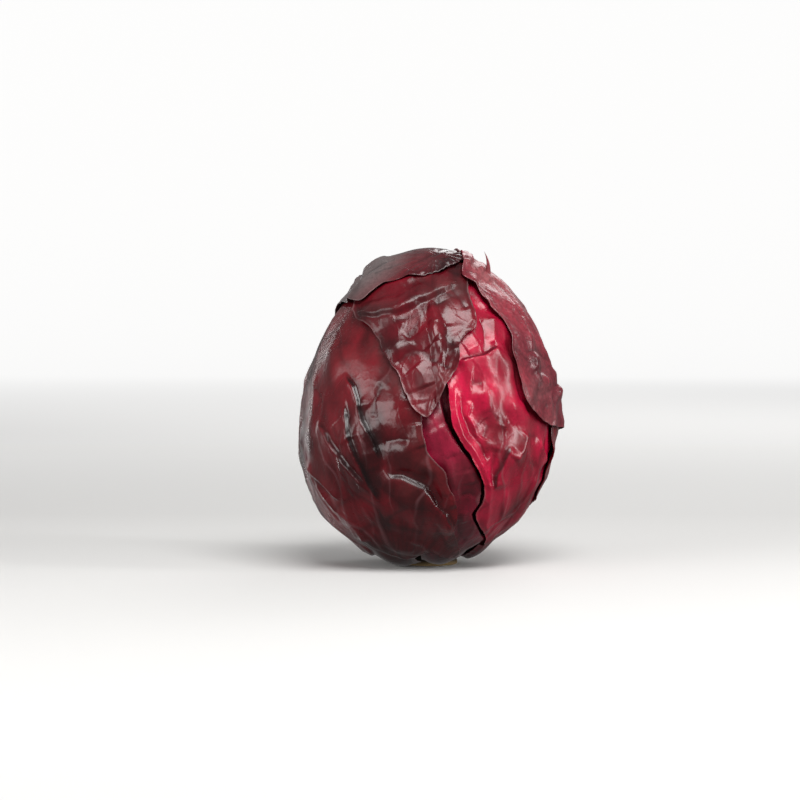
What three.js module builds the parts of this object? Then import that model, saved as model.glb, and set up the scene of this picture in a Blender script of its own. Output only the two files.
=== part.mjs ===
// A red cabbage head, standing on its cut stem.
//
// Sizes are in millimetres and angles in degrees. +Z is up, the origin is the middle of the stem's cut face,
// and the side of the head with the split between two leaves faces -Y.
// The tight heart is one ball. The loose wrapper leaves are laid over it one after another: each is a curved sheet
// with its own outline, folds and midrib, and it rests on the heart and on the leaves that were laid before it.
import * as THREE from "three";

// The head
const HEAD_WIDTH = 139;
const HEAD_DEPTH = 136;
const HEAD_HEIGHT = 167;
const WIDEST_HEIGHT = 72;
const ASIDE = -2.2; // how far the head's middle is to the side of the stem
const WRAP_DEPTH = 7.5; // what the wrapper leaves add to the heart, all round
const STEM_CLEARANCE = 9; // from the cut face up to the heart
const FULLNESS = 2.1; // power of the egg's curve: 2 is an ellipse, more is squarer
const FULLNESS_BELOW = 0.18; // added below the widest place, and taken off above it
const SKEW = 0.055; // how much the upper right and lower left bulge, and the two other corners are flattened

// The stem
const STEM_RADIUS = 15;
const STEM_TOP_RADIUS = 13.5;
const STEM_CHAMFER = 0.8;
const STEM_SIDES = 40;

// The leaves
const LEAF_THICKNESS = 1;
const EDGE_THICKNESS = 0.6;
const EDGE_TAPER = 6; // width of the thinned band along a leaf's edge
const LEAF_GAP = 0.7; // clear space between a leaf and what it lies on
const CLEARANCE = 4.5; // how far beyond its high places and its edge a leaf holds up what lies on it
const STACKED_CLEARANCE = 2.5; // and how much farther for each leaf in between
const DRAPE = 10; // how far from there a leaf settles down again
const SETTLE = 0.5; // how softly a leaf goes from lying on something to its own level
const EDGE_LIFT = 0.5; // how far a leaf's edge stands off, where its outline gives nothing else
const LIFT_BAND = 7;
const STALK_START = 18; // from the stem's axis
const STALK_HALF_ANGLE = 24;
const NECK_START = 30;
const NECK_HALF_ANGLE = 25;
const RIB_HEIGHT = 1.6;
const RIB_WIDTH = 8;
const RIB_LENGTH = 120;
const FOOT_HEIGHT = 6.2; // how far the thick leaf bases in front of the stem stand off the heart
const FOOT_START = 0.32; // where this begins to fade, in shares of the heart's radius away from the stem's axis
const FOOT_END = 0.7;

// How fine the solids are
const HEART_DETAIL = 8;
const SECTORS = 6;
const RING_CROWDING = 0.88; // under 1 brings the rings closer together towards the edge

const UP = new THREE.Vector3(0, 0, 1);
const CENTRE = new THREE.Vector3(ASIDE, 0, WIDEST_HEIGHT);
const HEART = {
  side: HEAD_WIDTH / 2 - WRAP_DEPTH,
  front: HEAD_DEPTH / 2 - WRAP_DEPTH,
  up: HEAD_HEIGHT - WIDEST_HEIGHT - WRAP_DEPTH,
  down: WIDEST_HEIGHT - STEM_CLEARANCE,
};

const radians = THREE.MathUtils.degToRad;
const smoothstep = THREE.MathUtils.smoothstep;
const smoothMax = (a, b, softness) => (a + b + Math.hypot(a - b, softness)) / 2;

// The heart's radius along a unit direction from its centre.
function heartRadius(direction) {
  const power = FULLNESS - FULLNESS_BELOW * direction.z;
  const rise = direction.z > 0 ? HEART.up : HEART.down;
  const sum =
    Math.abs(direction.x / HEART.side) ** power +
    Math.abs(direction.y / HEART.front) ** power +
    Math.abs(direction.z / rise) ** power;
  return sum ** (-1 / power) * (1 + SKEW * direction.x * direction.z);
}

// The point a given height above the heart.
function above(direction, height) {
  return direction.clone().multiplyScalar(heartRadius(direction) + height).add(CENTRE);
}

// Goes from a point inside the head along a way until it meets the wrapper leaves' middle,
// and gives the direction of that place from the head's centre.
function castOut(start, way) {
  let near = 0;
  let far = HEAD_HEIGHT;
  for (let halving = 0; halving < 40; halving++) {
    const middle = (near + far) / 2;
    const out = start.clone().addScaledVector(way, middle).sub(CENTRE);
    const radius = out.length();
    if (radius < heartRadius(out.normalize()) + WRAP_DEPTH / 2) near = middle;
    else far = middle;
  }
  return start.clone().addScaledVector(way, near).sub(CENTRE).normalize();
}

// Places on the head, each with how far an edge that passes there stands off.
const compass = (longitude) => new THREE.Vector3(Math.sin(radians(longitude)), -Math.cos(radians(longitude)), 0);
const front = (x, z, lift = EDGE_LIFT) => ({
  direction: castOut(new THREE.Vector3(x, 0, z), new THREE.Vector3(0, -1, 0)),
  lift,
});
const around = (longitude, z, lift = EDGE_LIFT) => ({
  direction: castOut(new THREE.Vector3(0, 0, z), compass(longitude)),
  lift,
});
const under = (longitude, radius, lift = EDGE_LIFT) => ({
  direction: castOut(compass(longitude).multiplyScalar(radius).setZ(WIDEST_HEIGHT), UP.clone().negate()),
  lift,
});

// The narrow end by which a leaf grows from the stem.
const stalk = (longitude) => [
  under(longitude - NECK_HALF_ANGLE, NECK_START, 0.4),
  under(longitude - STALK_HALF_ANGLE, STALK_START, 0),
  under(longitude + STALK_HALF_ANGLE, STALK_START, 0),
  under(longitude + NECK_HALF_ANGLE, NECK_START, 0.4),
];

// A fold is a ridge, or a crease where its rise is negative, along a line of places. A puff is a fold of one place.
const fold = (rise, width, ...places) => ({
  rise,
  width,
  line: places.map((place) => above(place.direction, WRAP_DEPTH / 2)),
});

// The leaves, from the innermost to the outermost. Level is a leaf's height over the heart where nothing lifts it,
// flutes is how deep its lengthwise waves are, and each leaf's outline ends with its stalk.
const LEAVES = [
  {
    name: "inner_front_leaf",
    colour: 0x7d1730,
    centre: around(8, 52),
    stalkAt: 14,
    level: 2.4,
    flutes: 0.5,
    rings: 9,
    outline: [
      front(37, 30),
      front(46, 60),
      front(36, 92),
      front(12, 108),
      front(-14, 104),
      front(-33, 84),
      front(-42, 50),
      front(-32, 20),
    ],
    folds: [
      fold(-3, 3.5, front(10, 94), front(7, 84), front(11, 71), front(18, 60), front(24, 48), front(21, 33), front(28, 18)),
      fold(1.1, 4, front(4, 84), front(6, 70), front(12, 58), front(17, 45), front(16, 32)),
    ],
  },
  {
    name: "back_leaf",
    colour: 0x5a1526,
    centre: around(-150, 66),
    stalkAt: -118,
    level: 2.4,
    flutes: 1.4,
    rings: 9,
    outline: [
      around(-88, 30),
      around(-84, 68),
      around(-98, 104),
      around(-138, 126),
      around(175, 124),
      around(152, 96),
      around(146, 58),
      around(158, 28),
    ],
    folds: [fold(2, 7, around(-150, 30), around(-160, 60), around(-172, 90))],
  },
  {
    name: "left_leaf",
    colour: 0x5c1122,
    centre: around(-52, 78),
    stalkAt: -40,
    level: 3.8,
    flutes: 1.1,
    rings: 12,
    outline: [
      under(0, 35, 0.5),
      front(13, 11.5, 0.8),
      front(12.2, 20.6, 1),
      front(11, 27, 1.2),
      front(12.5, 33.6, 1.2),
      front(11.4, 40.7, 1),
      front(8, 49, 1),
      front(5.9, 56, 1.2),
      front(2.1, 59.6, 1.2),
      front(-2.6, 66.7, 1),
      front(-3.8, 73.8, 1),
      front(-4.5, 84),
      front(-1, 100),
      front(0, 122),
      front(-8, 142),
      front(-24, 152),
      around(-88, 150),
      around(-120, 138),
      around(-140, 112, 1),
      around(-142, 74, 1.4),
      around(-128, 38, 1),
      around(-104, 18, 0.6),
    ],
    folds: [
      fold(-3.2, 3.5, front(-42, 103), front(-40, 96), front(-43, 87), front(-41, 79), front(-35, 61), front(-27, 43)),
      fold(1.9, 5, front(-37, 96), front(-34, 80), front(-29, 66), front(-24, 53)),
      fold(2, 3.5, front(-58, 77), front(-48, 63), front(-40, 53), front(-32, 45), front(-24, 37)),
      fold(1.9, 5, front(-68, 80), front(-66, 62), front(-60, 46), front(-52, 30), front(-42, 19), front(-30, 12)),
      fold(-3.5, 3.5, front(-34, 82), front(-28, 68), front(-24, 56), front(-13, 52), front(-4, 48), front(3, 38), front(8, 28)),
      fold(2.4, 4, front(-24, 49), front(-12, 47), front(-4, 44), front(0, 36), front(6, 26)),
      fold(2, 15, front(-50, 106)),
      fold(2.2, 8, front(-21, 76)),
      fold(1.9, 7, front(-12, 64)),
      fold(1.9, 9, front(-16, 32)),
      fold(2.4, 3, front(-32, 28), front(-26, 22), front(-22, 15), front(-20, 8)),
    ],
  },
  {
    name: "right_front_leaf",
    colour: 0x8c1734,
    centre: around(60, 84),
    stalkAt: 80,
    level: 3.8,
    flutes: 0.8,
    rings: 12,
    outline: [
      front(30.5, 13.5, 0.5),
      front(27.6, 19.4, 1.2),
      front(23.4, 25.3, 1.4),
      front(21.2, 31.9, 1.4),
      front(25.2, 38.4, 1.2),
      front(26, 45.5, 1.4),
      front(24, 52.5, 1.6),
      front(19.3, 61.4, 2),
      front(12.4, 71.5, 2.2),
      front(8.8, 80.9, 2.2),
      front(8.8, 91.6, 2),
      front(6, 104),
      front(4, 124),
      front(6, 144),
      front(16, 156),
      around(92, 153),
      around(122, 132),
      around(133, 92),
      around(122, 52),
      around(106, 24),
    ],
    folds: [
      fold(2.4, 3.5, front(32, 16), front(33, 32), front(34, 50), front(37, 61), front(45, 69)),
      fold(2.3, 4, front(36, 18), front(42, 30), front(52, 42), front(62, 52)),
      fold(1.9, 6, front(41, 83)),
      fold(-2.4, 4, front(20, 71), front(27, 76), front(39, 87)),
      fold(2.7, 8, front(22, 93)),
      fold(2.4, 4, front(14, 103), front(23, 107), front(34, 114)),
      fold(-2.2, 3.5, front(22, 138), front(25, 126), front(27, 118), front(27, 111)),
      fold(1.8, 8, front(32, 128)),
    ],
  },
  {
    name: "side_leaf",
    colour: 0x6b1428,
    centre: around(116, 62),
    stalkAt: 119,
    level: 5,
    flutes: 1,
    rings: 10,
    outline: [
      around(90, 27, 0.8),
      around(82, 44, 1),
      around(79, 62, 1),
      around(80, 80),
      around(88, 104),
      around(114, 112),
      around(140, 96),
      around(148, 64),
      around(144, 32),
    ],
    folds: [fold(1.6, 6, around(104, 24), around(108, 50), around(112, 80))],
  },
  {
    name: "upper_leaf",
    colour: 0x74182b,
    centre: front(-6, 124),
    stalkAt: null,
    level: 5.6,
    flutes: 0,
    rings: 11,
    outline: [
      front(16.5, 149),
      front(19.5, 137, 0.3),
      front(22, 124.8, 0.4),
      front(16.4, 120.6, 1),
      front(13.4, 115.4, 1.8),
      front(12.8, 106.8, 2.2),
      front(7.3, 96.6, 2.4),
      front(3, 88.6, 2.2),
      front(-2.6, 81, 2),
      front(-8.3, 84.6, 1.2),
      front(-11.8, 91, 0.8),
      front(-16.3, 102.4, 0.8),
      front(-20.8, 109.4, 0.8),
      front(-25, 117.4, 0.8),
      front(-27.4, 123.6, 0.8),
      front(-31.8, 126.2, 1.2),
      front(-36.2, 127.6, 1.6),
      front(-38, 131.6, 1.6),
      around(-68, 147),
      around(-100, 155),
      around(-160, 160),
      around(120, 162),
      around(60, 162),
    ],
    folds: [
      fold(3, 4, front(-32, 131), front(-20, 134), front(-8, 139), front(5, 146), front(14, 151)),
      fold(-2.7, 4, front(-22, 126), front(-9, 129), front(5, 136), front(15, 143)),
      fold(2.2, 7, front(-13, 118)),
      fold(2.7, 8, front(1, 105)),
      fold(-2.2, 3.5, front(-18, 112), front(-8, 111), front(2, 114), front(10, 122)),
      fold(2.2, 7, front(9, 130)),
      fold(2, 6, front(-4, 91)),
    ],
  },
  {
    name: "crown_leaf",
    colour: 0x57202b,
    centre: around(-150, 122),
    stalkAt: -162,
    level: 6,
    flutes: 1.6,
    rings: 12,
    outline: [
      front(18.4, 157.4),
      front(15.2, 155, 0.4),
      front(9.2, 153, 0.4),
      front(2.8, 151.4, 0.4),
      front(-3.7, 149, 0.4),
      front(-12.3, 148.1, 0.4),
      front(-19.7, 145.4, 0.6),
      front(-26.2, 143, 0.8),
      front(-29.6, 140.2, 1),
      front(-32.6, 137.2, 1.2),
      front(-37, 135, 1.4),
      around(-74, 136, 1),
      around(-94, 134.5, 0.5),
      around(-112, 122, 0.8),
      around(-122, 92, 1.2),
      around(-129, 58, 1.4),
      around(-141, 28, 1),
      around(168, 34),
      around(152, 78),
      around(148, 120),
      around(140, 150),
      around(110, 160),
    ],
    folds: [
      fold(1.2, 13, around(-82, 152)),
      fold(1.9, 4, front(-42, 143), front(-34, 149), front(-22, 156)),
      fold(1.6, 4, front(-38, 152), front(-28, 158)),
      fold(2.2, 8, front(-4, 160)),
    ],
  },
  {
    name: "right_leaf",
    colour: 0x6e1c30,
    centre: around(128, 98),
    stalkAt: 157,
    level: 6.2,
    flutes: 1.3,
    rings: 12,
    outline: [
      front(15.9, 155, 0.8),
      front(16.4, 149.2, 0.8),
      front(22.4, 143.6, 0.8),
      front(24.7, 139.8, 0.8),
      front(28.6, 135.2, 0.8),
      front(37, 126.3, 1),
      front(38.7, 121.7, 1.4),
      front(39.8, 112.7, 1.6),
      front(41.6, 104.7, 1.6),
      front(43.9, 96.7, 1.6),
      front(46.1, 89.8, 1.4),
      front(51.7, 81.8, 1.2),
      front(58.4, 75.8, 1.2),
      around(84, 70, 2.4),
      around(97, 66, 1),
      around(112, 52, 0.8),
      around(124, 36, 0.8),
      around(178, 27, 0.8),
      around(190, 58, 1.2),
      around(194, 96, 1.2),
      around(188, 132, 1),
      around(160, 152, 0.8),
      around(112, 161, 0.8),
    ],
    folds: [
      fold(1.6, 4, front(36, 142), front(46, 124), front(52, 106), front(57, 90)),
      fold(1.4, 4, around(70, 132), around(78, 110), around(84, 84)),
    ],
  },
];

// Polar coordinates on the ball of directions: arc is how far a direction is from the pole, and turn is which way,
// from the way that leads to another direction.
function polarChart(pole, towards) {
  const ahead = towards.clone().addScaledVector(pole, -towards.dot(pole)).normalize();
  const aside = pole.clone().cross(ahead);
  return {
    locate(direction) {
      const along = direction.dot(ahead);
      const across = direction.dot(aside);
      return { turn: Math.atan2(across, along), arc: Math.atan2(Math.hypot(along, across), direction.dot(pole)) };
    },
    at(turn, arc) {
      return pole
        .clone()
        .multiplyScalar(Math.cos(arc))
        .addScaledVector(ahead, Math.sin(arc) * Math.cos(turn))
        .addScaledVector(aside, Math.sin(arc) * Math.sin(turn));
    },
  };
}

// A smooth closed curve of values through places given by their turn, which never swings past its values.
function closedCurve(turns, values) {
  const count = turns.length;
  const circle = 2 * Math.PI;
  const wrap = (angle) => ((angle % circle) + circle) % circle;
  const step = turns.map((turn, i) => wrap(turns[(i + 1) % count] - turn));
  const steepness = values.map((value, i) => (values[(i + 1) % count] - value) / step[i]);
  const slope = steepness.map((after, i) => {
    const before = steepness[(i + count - 1) % count];
    return before * after > 0 ? (2 * before * after) / (before + after) : 0;
  });
  return (turn) => {
    const i = turns.findLastIndex((start) => start <= turn);
    const from = i < 0 ? count - 1 : i;
    const to = (from + 1) % count;
    const share = wrap(turn - turns[from]) / step[from];
    const rest = 1 - share;
    return (
      rest * rest * (1 + 2 * share) * values[from] +
      share * share * (1 + 2 * rest) * values[to] +
      share * rest * step[from] * (rest * slope[from] - share * slope[to])
    );
  };
}

// Gives a leaf its charts, and its outline as curves round its centre and as a closed line.
const RIM_STEPS = 180;
function drawn(leaf) {
  const centre = leaf.centre.direction;
  const root = leaf.stalkAt === null ? above(centre, 0).setZ(0).sub(CENTRE).normalize() : under(leaf.stalkAt, STALK_START).direction;
  const round = polarChart(centre, root);
  const edge = [...leaf.outline, ...(leaf.stalkAt === null ? [] : stalk(leaf.stalkAt))]
    .map(({ direction, lift }) => ({ ...round.locate(direction), lift }))
    .sort((a, b) => a.turn - b.turn);
  const turns = edge.map(({ turn }) => turn);
  const reach = closedCurve(turns, edge.map(({ arc }) => arc));
  const rim = Array.from({ length: RIM_STEPS + 1 }, (_, i) => {
    const turn = Math.PI * ((2 * i) / RIM_STEPS - 1);
    return above(round.at(turn, reach(turn)), WRAP_DEPTH / 2);
  });
  const walked = [0];
  for (let i = 1; i < rim.length; i++) walked.push(walked[i - 1] + rim[i].distanceTo(rim[i - 1]));
  return {
    ...leaf,
    round,
    fan: polarChart(root, centre),
    reach,
    rim,
    walked,
    lift: closedCurve(turns, edge.map(({ lift }) => lift)),
  };
}

// The turn of the place that is a given share of the way along a leaf's outline.
function turnAt(leaf, share) {
  const way = share * leaf.walked.at(-1);
  const i = Math.min(RIM_STEPS - 1, leaf.walked.findLastIndex((start) => start <= way));
  const part = (way - leaf.walked[i]) / (leaf.walked[i + 1] - leaf.walked[i]);
  return Math.PI * ((2 * (i + part)) / RIM_STEPS - 1);
}

// How far a point is from a line of points.
function distanceTo(line, point) {
  const piece = new THREE.Line3(line[0], line[0]);
  const nearest = new THREE.Vector3();
  let shortest = line[0].distanceTo(point);
  for (const end of line.slice(1)) {
    piece.set(piece.end, end);
    shortest = Math.min(shortest, piece.closestPointToPoint(point, true, nearest).distanceTo(point));
  }
  return shortest;
}

// How far a direction is inside a leaf's outline, or outside it where negative.
function insideBy(leaf, direction) {
  const { turn, arc } = leaf.round.locate(direction);
  const distance = distanceTo(leaf.rim, above(direction, WRAP_DEPTH / 2));
  return arc < leaf.reach(turn) ? distance : -distance;
}

// Where a direction lies in the fan of a leaf's veins: how far out from its stalk, and at what angle to its midrib.
function inFan(leaf, direction) {
  const { turn, arc } = leaf.fan.locate(direction);
  return { turn, out: arc * (heartRadius(direction) + WRAP_DEPTH) };
}

// The leaf's own ups and downs: lengthwise flutes that fan out from the stalk, folds, and a slight crumple.
const FLUTES_PER_RADIAN = 3.2;
const FLUTE_SWAY = 0.09;
const FLUTE_SWAY_LENGTH = 24;
const CRUMPLE = 0.5;
const CRUMPLE_LENGTH = 9;
function relief(leaf, direction) {
  const { turn, out } = inFan(leaf, direction);
  const swayed = turn + FLUTE_SWAY * Math.sin(out / FLUTE_SWAY_LENGTH + leaf.level);
  const grown = smoothstep(out, 30, 90) * (1 - smoothstep(out, 130, 210) / 2);
  const flute = (leaf.flutes * grown * (1 + Math.cos(2 * Math.PI * FLUTES_PER_RADIAN * swayed))) / 2;
  const point = above(direction, WRAP_DEPTH / 2);
  const crumple =
    CRUMPLE *
    Math.sin(point.x / CRUMPLE_LENGTH + Math.sin(point.z / CRUMPLE_LENGTH)) *
    Math.sin(point.z / CRUMPLE_LENGTH + point.y / CRUMPLE_LENGTH);
  const folded = leaf.folds.reduce(
    (sum, { rise, width, line }) => sum + rise * Math.exp(-((distanceTo(line, point) / width) ** 2)),
    0,
  );
  return flute + crumple + folded;
}

// A leaf is thicker along its midrib, and thinner at its edge.
function thickness(leaf, direction) {
  const { turn, out } = inFan(leaf, direction);
  const along = Math.cos(turn) > 0 ? 1 - smoothstep(out, 0, RIB_LENGTH) : 0;
  const rib = leaf.stalkAt === null ? 0 : RIB_HEIGHT * along * Math.exp(-(((out * Math.sin(turn)) / RIB_WIDTH) ** 2));
  const edge = 1 - smoothstep(insideBy(leaf, direction), 0, EDGE_TAPER);
  return LEAF_THICKNESS + rib - (LEAF_THICKNESS - EDGE_THICKNESS) * edge;
}

const laid = LEAVES.map(drawn);

// Small steps to the places round a direction.
const NEARBY = [1, -1].flatMap((way) =>
  ["x", "y", "z"].map((axis) => new THREE.Vector3().setComponent("xyz".indexOf(axis), (way * CLEARANCE) / WIDEST_HEIGHT)),
);

// How far the leaf bases in front of the stem keep the leaves off the heart.
function foot(direction) {
  if (direction.z > 0) return 0;
  const near = 1 - smoothstep(Math.hypot(direction.x, direction.y), FOOT_START, FOOT_END);
  return FOOT_HEIGHT * near * (1 - smoothstep(direction.y, -0.12, 0.2));
}

// The inner face's height over the heart for the last of the given leaves, after all of them are laid in turn.
function lieOn(leaves, direction) {
  const nearby = [direction, ...NEARBY.map((step) => direction.clone().addScaledVector(step, 1).normalize())];
  const tops = [];
  let height = 0;
  for (const [order, leaf] of leaves.entries()) {
    const inside = insideBy(leaf, direction);
    const floor = Math.max(foot(direction), ...tops) + LEAF_GAP;
    const { turn } = leaf.round.locate(direction);
    const lift = leaf.lift(turn) * Math.exp(-Math.max(inside, 0) / LIFT_BAND);
    const settled = (own) => smoothMax(floor, leaf.level + own, SETTLE) + lift;
    height = settled(relief(leaf, direction));
    if (leaf === leaves.at(-1)) return height;
    const clearance = CLEARANCE + STACKED_CLEARANCE * (leaves.length - 2 - order);
    const cover = smoothstep(inside, -DRAPE - clearance, -clearance);
    if (cover === 0) continue;
    const highest = Math.max(...nearby.map((place) => relief(leaf, place)));
    const thickest = Math.max(...nearby.map((place) => thickness(leaf, place)));
    tops.push((settled(highest) + thickest) * cover);
  }
  return height;
}

function solid(points, triangles) {
  const geometry = new THREE.BufferGeometry().setFromPoints(points);
  geometry.setIndex(triangles.flat());
  geometry.computeVertexNormals();
  return geometry;
}

// A leaf is a net of rings round its centre, each with one more point in every sector than the ring before it.
function leafGeometry(leaf, leavesSoFar) {
  const inner = [];
  const outer = [];
  for (let ring = 0; ring <= leaf.rings; ring++) {
    const count = Math.max(1, SECTORS * ring);
    for (let i = 0; i < count; i++) {
      const turn = turnAt(leaf, i / count);
      const direction = leaf.round.at(turn, leaf.reach(turn) * (ring / leaf.rings) ** RING_CROWDING);
      const height = lieOn(leavesSoFar, direction);
      inner.push(above(direction, height));
      outer.push(above(direction, height + thickness(leaf, direction)));
    }
  }
  const first = (ring) => (ring === 0 ? 0 : 1 + (SECTORS * ring * (ring - 1)) / 2);
  const net = [];
  for (let ring = 1; ring <= leaf.rings; ring++) {
    for (let sector = 0; sector < SECTORS; sector++) {
      const far = (i) => first(ring) + ((sector * ring + i) % (SECTORS * ring));
      const near = (i) => first(ring - 1) + ((sector * (ring - 1) + i) % Math.max(1, SECTORS * (ring - 1)));
      for (let i = 0; i < ring; i++) net.push([near(i), far(i), far(i + 1)]);
      for (let i = 0; i < ring - 1; i++) net.push([near(i), far(i + 1), near(i + 1)]);
    }
  }
  const back = outer.length;
  const rim = SECTORS * leaf.rings;
  const edge = (i) => first(leaf.rings) + (i % rim);
  const sides = Array.from({ length: rim }, (_, i) => [
    [edge(i + 1), edge(i), back + edge(i)],
    [edge(i + 1), back + edge(i), back + edge(i + 1)],
  ]).flat();
  return solid([...outer, ...inner], [...net, ...net.map(([a, b, c]) => [back + a, back + c, back + b]), ...sides]);
}

function heartGeometry() {
  const geometry = new THREE.IcosahedronGeometry(1, HEART_DETAIL);
  const position = geometry.getAttribute("position");
  for (let i = 0; i < position.count; i++) {
    const point = above(new THREE.Vector3().fromBufferAttribute(position, i).normalize(), 0);
    position.setXYZ(i, point.x, point.y, point.z);
  }
  geometry.computeVertexNormals();
  return geometry;
}

// The stump that is left where the head was cut off, from its flat cut face up to the heart.
const STEM_GAP = 0.4;
function stemGeometry() {
  const top = STEM_CLEARANCE - STEM_GAP;
  const profile = [
    new THREE.Vector2(0, 0),
    new THREE.Vector2(STEM_RADIUS - STEM_CHAMFER, 0),
    new THREE.Vector2(STEM_RADIUS, STEM_CHAMFER),
    new THREE.Vector2(STEM_TOP_RADIUS, top),
    new THREE.Vector2(0, top),
  ];
  return new THREE.LatheGeometry(profile, STEM_SIDES).rotateX(Math.PI / 2);
}

function named(name, geometry, colour, roughness) {
  const mesh = new THREE.Mesh(geometry, new THREE.MeshStandardMaterial({ color: colour, roughness, metalness: 0 }));
  mesh.name = name;
  return mesh;
}

const head = new THREE.Group();
head.add(named("stem", stemGeometry(), 0xcfc3a2, 0.7));
head.add(named("heart", heartGeometry(), 0x3d0d1c, 0.5));
laid.forEach((leaf, i) => {
  head.add(named(leaf.name, leafGeometry(leaf, laid.slice(0, i + 1)), leaf.colour, 0.4));
});

export default head;
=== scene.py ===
import itertools
import math
from types import SimpleNamespace

import bpy
import numpy as np
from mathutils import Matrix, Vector, kdtree


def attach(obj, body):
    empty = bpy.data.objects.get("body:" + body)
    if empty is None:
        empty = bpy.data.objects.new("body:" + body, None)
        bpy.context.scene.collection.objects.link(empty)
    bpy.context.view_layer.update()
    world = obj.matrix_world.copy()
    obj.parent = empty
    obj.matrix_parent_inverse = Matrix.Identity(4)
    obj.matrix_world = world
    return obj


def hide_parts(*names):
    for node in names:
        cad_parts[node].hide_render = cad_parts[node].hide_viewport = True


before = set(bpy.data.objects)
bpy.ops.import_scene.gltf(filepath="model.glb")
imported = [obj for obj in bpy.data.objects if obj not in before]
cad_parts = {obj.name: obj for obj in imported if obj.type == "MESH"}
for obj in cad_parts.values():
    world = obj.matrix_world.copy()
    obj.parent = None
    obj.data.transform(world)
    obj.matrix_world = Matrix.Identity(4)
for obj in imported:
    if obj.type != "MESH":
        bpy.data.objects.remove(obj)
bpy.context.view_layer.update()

# The heart
# The tight ball of inner leaves. It is packed too close to see anything but its dark skin in the cracks,
# so the solid stays as it is and gets the colour of a red cabbage leaf in shadow.


def linear(colour, alpha=1.0):
    """An sRGB hex colour as the linear values that a shader takes."""
    parts = [int(colour[i : i + 2], 16) / 255 for i in (1, 3, 5)]
    return [p / 12.92 if p <= 0.04045 else ((p + 0.055) / 1.055) ** 2.4 for p in parts] + [alpha]


def add(tree, kind, inputs=None, **settings):
    """Adds a node. Inputs are by socket name or number: a value, or the socket of another node to link."""
    made = tree.nodes.new(kind)
    for name, value in settings.items():
        setattr(made, name, value)
    for name, value in (inputs or {}).items():
        if isinstance(value, bpy.types.NodeSocket):
            tree.links.new(value, made.inputs[name])
        else:
            made.inputs[name].default_value = value
    return made


def material(name):
    """A new material with nothing in it but its output."""
    made = bpy.data.materials.new(name)
    made.use_nodes = True
    made.node_tree.nodes.clear()
    return made, made.node_tree, made.node_tree.nodes.new("ShaderNodeOutputMaterial")


PER_MM = 1000  # the frame is in metres, and patterns are sized in millimetres


def noise(tree, place, scale, detail):
    return add(tree, "ShaderNodeTexNoise", {"Vector": place, "Scale": scale, "Detail": detail}).outputs["Fac"]


def maths(tree, operation, *values):
    return add(tree, "ShaderNodeMath", dict(enumerate(values)), operation=operation).outputs[0]


def remap(tree, value, start, end, low=0.0, high=1.0, curve="LINEAR"):
    """Goes from low to high while the value goes from start to end, and stays there on either side."""
    inputs = {"Value": value, "From Min": start, "From Max": end, "To Min": low, "To Max": high}
    return add(tree, "ShaderNodeMapRange", inputs, interpolation_type=curve).outputs[0]


def blend(tree, share, under, over):
    """The colour under with a share of the colour over it. Both are hex, or under is another node's."""
    under = linear(under) if isinstance(under, str) else under
    made = add(tree, "ShaderNodeMix", {"Factor": share, "A": under, "B": linear(over)}, data_type="RGBA")
    return made.outputs["Result"]


# Waxy leaf in deep shade: hardly any gloss, and mottled in patches of about 14 mm, so that a crack doesn't
# look painted.
inner_leaf, tree, output = material("packed_inner_leaves")
place = add(tree, "ShaderNodeTexCoord").outputs["Object"]
shade = blend(tree, noise(tree, place, PER_MM / 14, 4.0), "#1c060c", "#4a0d20")
shader = add(tree, "ShaderNodeBsdfPrincipled", {"Base Color": shade, "Roughness": 0.45})
tree.links.new(shader.outputs[0], output.inputs[0])
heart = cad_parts["heart"]
heart.data.materials.clear()
heart.data.materials.append(inner_leaf)

# The cut stem
# The stump that is left where the knife went through: pale pith in the middle, a ring of woody strands round
# it, and a thin skin. The face has dried a little, so it is browned towards its edge and the strands stand
# in dimples.
STEM_RADIUS = 15.0
STEM_TOP = 8.6
STEM_TOP_RADIUS = 13.6
STEM_SIDES = 144
STEM_RINGS = 26
STRAND_RING = 10.6
STRANDS = 34


def mesh_piece(name, points, faces, skin):
    """A smooth-shaded piece from points in millimetres."""
    mesh = bpy.data.meshes.new(name)
    mesh.from_pydata((np.asarray(points) / PER_MM).tolist(), [], [tuple(map(int, f)) for f in faces])
    mesh.shade_smooth()
    mesh.materials.append(skin)
    made = bpy.data.objects.new(name, mesh)
    bpy.context.scene.collection.objects.link(made)
    return made


chance = np.random.default_rng(11)
lattice = chance.permutation(256)
slopes = chance.normal(size=(256, 3))
slopes /= np.linalg.norm(slopes, axis=1)[:, None]
scatter = chance.random((256, 3))


def corner_key(cell):
    """A repeatable number from 0 to 255 for each cell of a grid."""
    x, y, z = (cell & 255).T
    return lattice[(lattice[(lattice[x] + y) & 255] + z) & 255]


def swell(points, size):
    """Smooth noise from about -1 to 1, whose swells are about size millimetres across."""
    spot = points / size
    cell = np.floor(spot).astype(int)
    part = spot - cell
    fade = part**3 * (part * (part * 6 - 15) + 10)
    total = np.zeros(len(points))
    for corner in itertools.product((0, 1), repeat=3):
        slope = (slopes[corner_key(cell + corner)] * (part - corner)).sum(1)
        total += slope * np.where(corner, fade, 1 - fade).prod(1)
    return total * 1.7  # which brings its extremes to about -1 and 1


face_rings = [(k / STEM_RINGS) ** 0.9 * (STEM_RADIUS - 0.7) for k in range(1, STEM_RINGS + 1)]
side_rings = [
    (STEM_RADIUS, 0.7), (14.8, 2.2), (14.5, 3.6), (14.1, 5.2), (13.8, 6.8), (STEM_TOP_RADIUS, STEM_TOP)
]
angle = np.arange(STEM_SIDES) * 2 * math.pi / STEM_SIDES
compass = np.stack([np.cos(angle), np.sin(angle), np.zeros(STEM_SIDES)], 1)
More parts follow.
